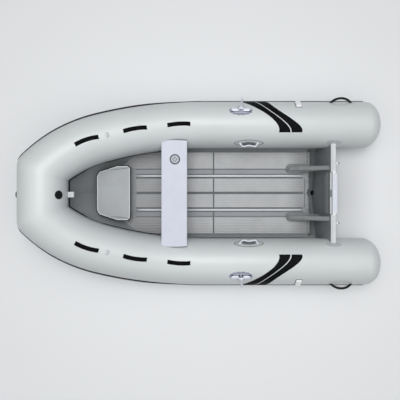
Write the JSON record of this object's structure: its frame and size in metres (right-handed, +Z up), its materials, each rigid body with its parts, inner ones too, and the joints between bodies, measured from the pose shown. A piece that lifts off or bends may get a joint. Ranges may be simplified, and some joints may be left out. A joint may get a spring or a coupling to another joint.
{
  "type": "rigid inflatable boat",
  "caption": "Rigid inflatable boat: vee hull, ribbed deck and raked transom inside a pale grey inflated collar, with a thwart, bow locker with hinged lid and folding rowlock pins.",
  "frame": {"origin": "on the centreline at the waterline, amidships", "axes": "+X to the bow, +Y to port, +Z up"},
  "size_m": [3.3475, 1.7838, 0.8473],
  "materials": {
    "tube_fabric": "satin coated fabric, pale grey",
    "strake_rubber": "dark grey extruded rubber",
    "hull_paint": "grey powder coat on aluminium",
    "deck_paint": "grey powder coat, fine lengthwise ribs",
    "transom_paint": "mid grey powder coat",
    "pad_plastic": "pale moulded plastic",
    "seat_aluminium": "anodised aluminium",
    "grey_plastic": "grey moulded plastic",
    "white_plastic": "white moulded plastic",
    "black_rubber": "black moulded rubber",
    "stainless": "polished stainless steel",
    "cast_aluminium": "cast aluminium"
  },
  "bodies": {
    "boat": {"collar_port": "tube_fabric", "collar_starboard": "tube_fabric", "collar_bow": "tube_fabric", "stern_cone_port": "tube_fabric", "stern_cone_starboard": "tube_fabric", "strake_bow": "strake_rubber", "strake_port": "strake_rubber", "strake_starboard": "strake_rubber", "hull_shell": "hull_paint", "keel_bar": "hull_paint", "tube_seat_port": "hull_paint", "tube_seat_starboard": "hull_paint", "deck_fore": "deck_paint", "deck_aft": "deck_paint", "deck_rails": "deck_paint", "deck_sill": "deck_paint", "transom": "transom_paint", "engine_pad_fore": "pad_plastic", "engine_pad_aft": "pad_plastic", "knee_port": "transom_paint", "knee_starboard": "transom_paint", "drain_plug": "black_rubber", "stern_eyes": "stainless", "locker_box": "hull_paint", "lid_hinges": "stainless", "bench_seat": "seat_aluminium", "seat_cap": "grey_plastic", "grips_port": "black_rubber", "grips_starboard": "black_rubber", "rowlock_base_port": "cast_aluminium", "rowlock_base_starboard": "cast_aluminium", "oar_clip_port": "white_plastic", "oar_clip_starboard": "white_plastic", "handle_pad_port": "grey_plastic", "handle_pad_starboard": "grey_plastic", "carry_handle_port": "stainless", "carry_handle_starboard": "stainless", "stern_handle_port": "black_rubber", "stern_handle_starboard": "black_rubber", "air_valve": "black_rubber", "painter_block": "white_plastic", "tow_ring": "black_rubber"},
    "locker_lid": {"locker_lid": "deck_paint"},
    "rowlock_pin_port": {"rowlock_pin_port": "stainless"},
    "rowlock_pin_starboard": {"rowlock_pin_starboard": "stainless"}
  },
  "joints": [
    {"name": "locker_lid_hinge", "type": "hinge", "parent": "boat", "child": "locker_lid", "pos_m": [1.016, 0, 0.2003], "axis": [0, 1, 0], "range_deg": [0, 90]},
    {"name": "rowlock_fold_port", "type": "hinge", "parent": "boat", "child": "rowlock_pin_port", "pos_m": [-0.353, 0.77567, 0.44171], "axis": [1, 0, 0], "range_deg": [-60, 60]},
    {"name": "rowlock_fold_starboard", "type": "hinge", "parent": "boat", "child": "rowlock_pin_starboard", "pos_m": [-0.353, -0.77567, 0.44171], "axis": [-1, 0, 0], "range_deg": [-60, 60]}
  ]
}
